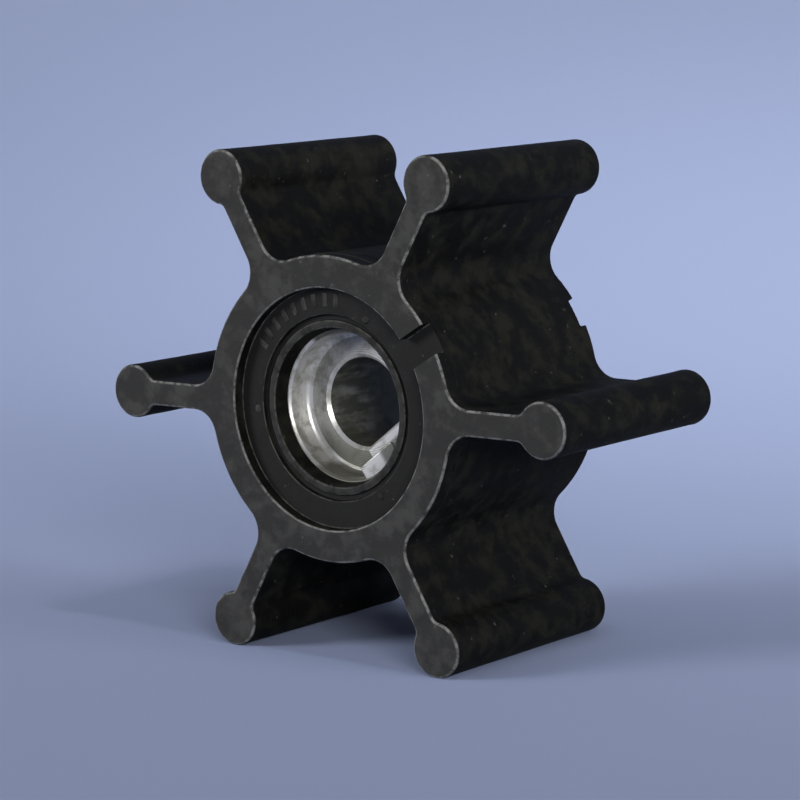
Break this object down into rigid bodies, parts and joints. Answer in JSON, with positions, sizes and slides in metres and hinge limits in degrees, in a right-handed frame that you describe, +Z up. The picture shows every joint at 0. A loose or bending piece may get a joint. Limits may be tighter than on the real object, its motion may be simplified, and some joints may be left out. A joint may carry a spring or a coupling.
{
  "type": "rubber pump impeller",
  "caption": "Flexible rubber impeller with straight radial vanes, round tip beads and a bonded metal drive bush, for a small marine cooling-water pump.",
  "frame": {"origin": "on the impeller's axis, halfway between its two end faces", "axes": "+Y along the axis, from the front face to the rear face where the shaft enters; +Z up with one vane gap straight up; +X along one vane"},
  "size_m": [0.0508, 0.0222, 0.0446],
  "materials": {
    "rubber": "moulded black nitrile or chloroprene rubber, satin to matte",
    "bush_metal": "turned stainless steel, bright in the counterbore"
  },
  "bodies": {
    "root": {"rubber_impeller": "rubber", "drive_bush": "bush_metal"}
  },
  "joints": []
}
